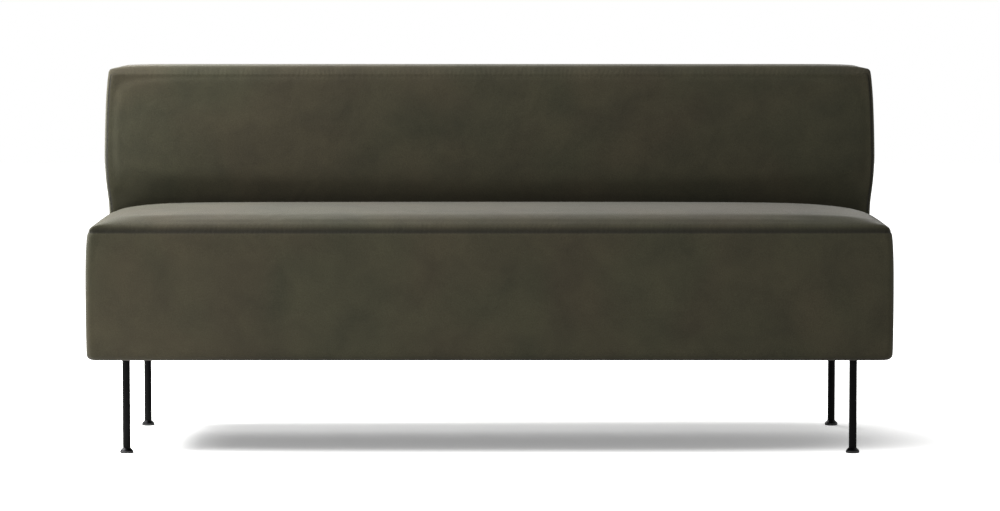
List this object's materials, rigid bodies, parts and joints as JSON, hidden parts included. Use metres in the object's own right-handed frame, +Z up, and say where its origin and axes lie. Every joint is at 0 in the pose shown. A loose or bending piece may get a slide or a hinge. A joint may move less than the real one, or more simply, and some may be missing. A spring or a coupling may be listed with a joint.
{
  "type": "dining sofa",
  "caption": "Armless upholstered dining sofa: a deep box seat with a low upholstered backrest, on slim black steel legs with screw levelling feet.",
  "frame": {"origin": "on the floor, below the middle of the seat", "axes": "+X to the right as seen from in front, -Y towards the front, +Z up"},
  "size_m": [1.658, 0.6297, 0.7899],
  "materials": {
    "cover_fabric": "dark olive-brown velvet with a short nap, matte with a soft sheen",
    "foam": "open-cell polyurethane foam, matte",
    "webbing": "woven elastic webbing, matte",
    "dust_cloth": "black spunbond cloth, matte",
    "timber": "sawn softwood and plywood, unfinished",
    "black_steel": "black powder coat, satin",
    "zinc_steel": "zinc plated",
    "nylon": "black nylon, matte"
  },
  "bodies": {
    "sofa": {"seat_cover": "cover_fabric", "back_cover": "cover_fabric", "seat_foam_core": "foam", "seat_topper": "foam", "seat_border_foam": "foam", "back_front_foam": "foam", "back_wrap_foam": "foam", "seat_webbing": "webbing", "underside_cloth": "dust_cloth", "seat_front_rail": "timber", "seat_rear_rail": "timber", "seat_left_rail": "timber", "seat_right_rail": "timber", "back_support_beam": "timber", "webbing_cleat": "timber", "seat_cross_rail_1": "timber", "seat_cross_rail_2": "timber", "back_support_deck": "timber", "back_bottom_rail": "timber", "back_top_rail": "timber", "back_post_left": "timber", "back_post_middle": "timber", "back_post_right": "timber", "back_front_board": "timber", "back_rear_board": "timber", "corner_block_front_left": "timber", "corner_block_front_right": "timber", "corner_block_rear_left": "timber", "corner_block_rear_right": "timber", "back_coach_screw_1": "zinc_steel", "back_coach_screw_2": "zinc_steel", "back_coach_screw_3": "zinc_steel", "leg_front_left": "black_steel", "leg_plate_front_left": "zinc_steel", "leg_insert_front_left": "zinc_steel", "plate_screw_front_left_1": "zinc_steel", "plate_screw_front_left_2": "zinc_steel", "leg_front_right": "black_steel", "leg_plate_front_right": "zinc_steel", "leg_insert_front_right": "zinc_steel", "plate_screw_front_right_1": "zinc_steel", "plate_screw_front_right_2": "zinc_steel", "leg_rear_left": "black_steel", "leg_plate_rear_left": "zinc_steel", "leg_insert_rear_left": "zinc_steel", "plate_screw_rear_left_1": "zinc_steel", "plate_screw_rear_left_2": "zinc_steel", "leg_rear_right": "black_steel", "leg_plate_rear_right": "zinc_steel", "leg_insert_rear_right": "zinc_steel", "plate_screw_rear_right_1": "zinc_steel", "plate_screw_rear_right_2": "zinc_steel"},
    "pad_front_left": {"foot_pad_front_left": "nylon"},
    "screw_front_left": {"foot_screw_front_left": "black_steel"},
    "pad_front_right": {"foot_pad_front_right": "nylon"},
    "screw_front_right": {"foot_screw_front_right": "black_steel"},
    "pad_rear_left": {"foot_pad_rear_left": "nylon"},
    "screw_rear_left": {"foot_screw_rear_left": "black_steel"},
    "pad_rear_right": {"foot_pad_rear_right": "nylon"},
    "screw_rear_right": {"foot_screw_rear_right": "black_steel"}
  },
  "joints": [
    {"name": "foot_travel_front_left", "type": "slide", "parent": "sofa", "child": "pad_front_left", "axis": [0, 0, -1], "range_m": [0, 0.0075]},
    {"name": "foot_turn_front_left", "type": "hinge", "parent": "pad_front_left", "child": "screw_front_left", "pos_m": [-0.7495, -0.2395, 0.0048], "axis": [0, 0, -1], "range_deg": [0, 2160]},
    {"name": "foot_travel_front_right", "type": "slide", "parent": "sofa", "child": "pad_front_right", "axis": [0, 0, -1], "range_m": [0, 0.0075]},
    {"name": "foot_turn_front_right", "type": "hinge", "parent": "pad_front_right", "child": "screw_front_right", "pos_m": [0.7495, -0.2395, 0.0048], "axis": [0, 0, -1], "range_deg": [0, 2160]},
    {"name": "foot_travel_rear_left", "type": "slide", "parent": "sofa", "child": "pad_rear_left", "axis": [0, 0, -1], "range_m": [0, 0.0075]},
    {"name": "foot_turn_rear_left", "type": "hinge", "parent": "pad_rear_left", "child": "screw_rear_left", "pos_m": [-0.7495, 0.2395, 0.0048], "axis": [0, 0, -1], "range_deg": [0, 2160]},
    {"name": "foot_travel_rear_right", "type": "slide", "parent": "sofa", "child": "pad_rear_right", "axis": [0, 0, -1], "range_m": [0, 0.0075]},
    {"name": "foot_turn_rear_right", "type": "hinge", "parent": "pad_rear_right", "child": "screw_rear_right", "pos_m": [0.7495, 0.2395, 0.0048], "axis": [0, 0, -1], "range_deg": [0, 2160]}
  ],
  "couplings": [
    {"joint": "foot_travel_front_left", "follows": "foot_turn_front_left", "m_per_rad": 0.00019894},
    {"joint": "foot_travel_front_right", "follows": "foot_turn_front_right", "m_per_rad": 0.00019894},
    {"joint": "foot_travel_rear_left", "follows": "foot_turn_rear_left", "m_per_rad": 0.00019894},
    {"joint": "foot_travel_rear_right", "follows": "foot_turn_rear_right", "m_per_rad": 0.00019894}
  ]
}
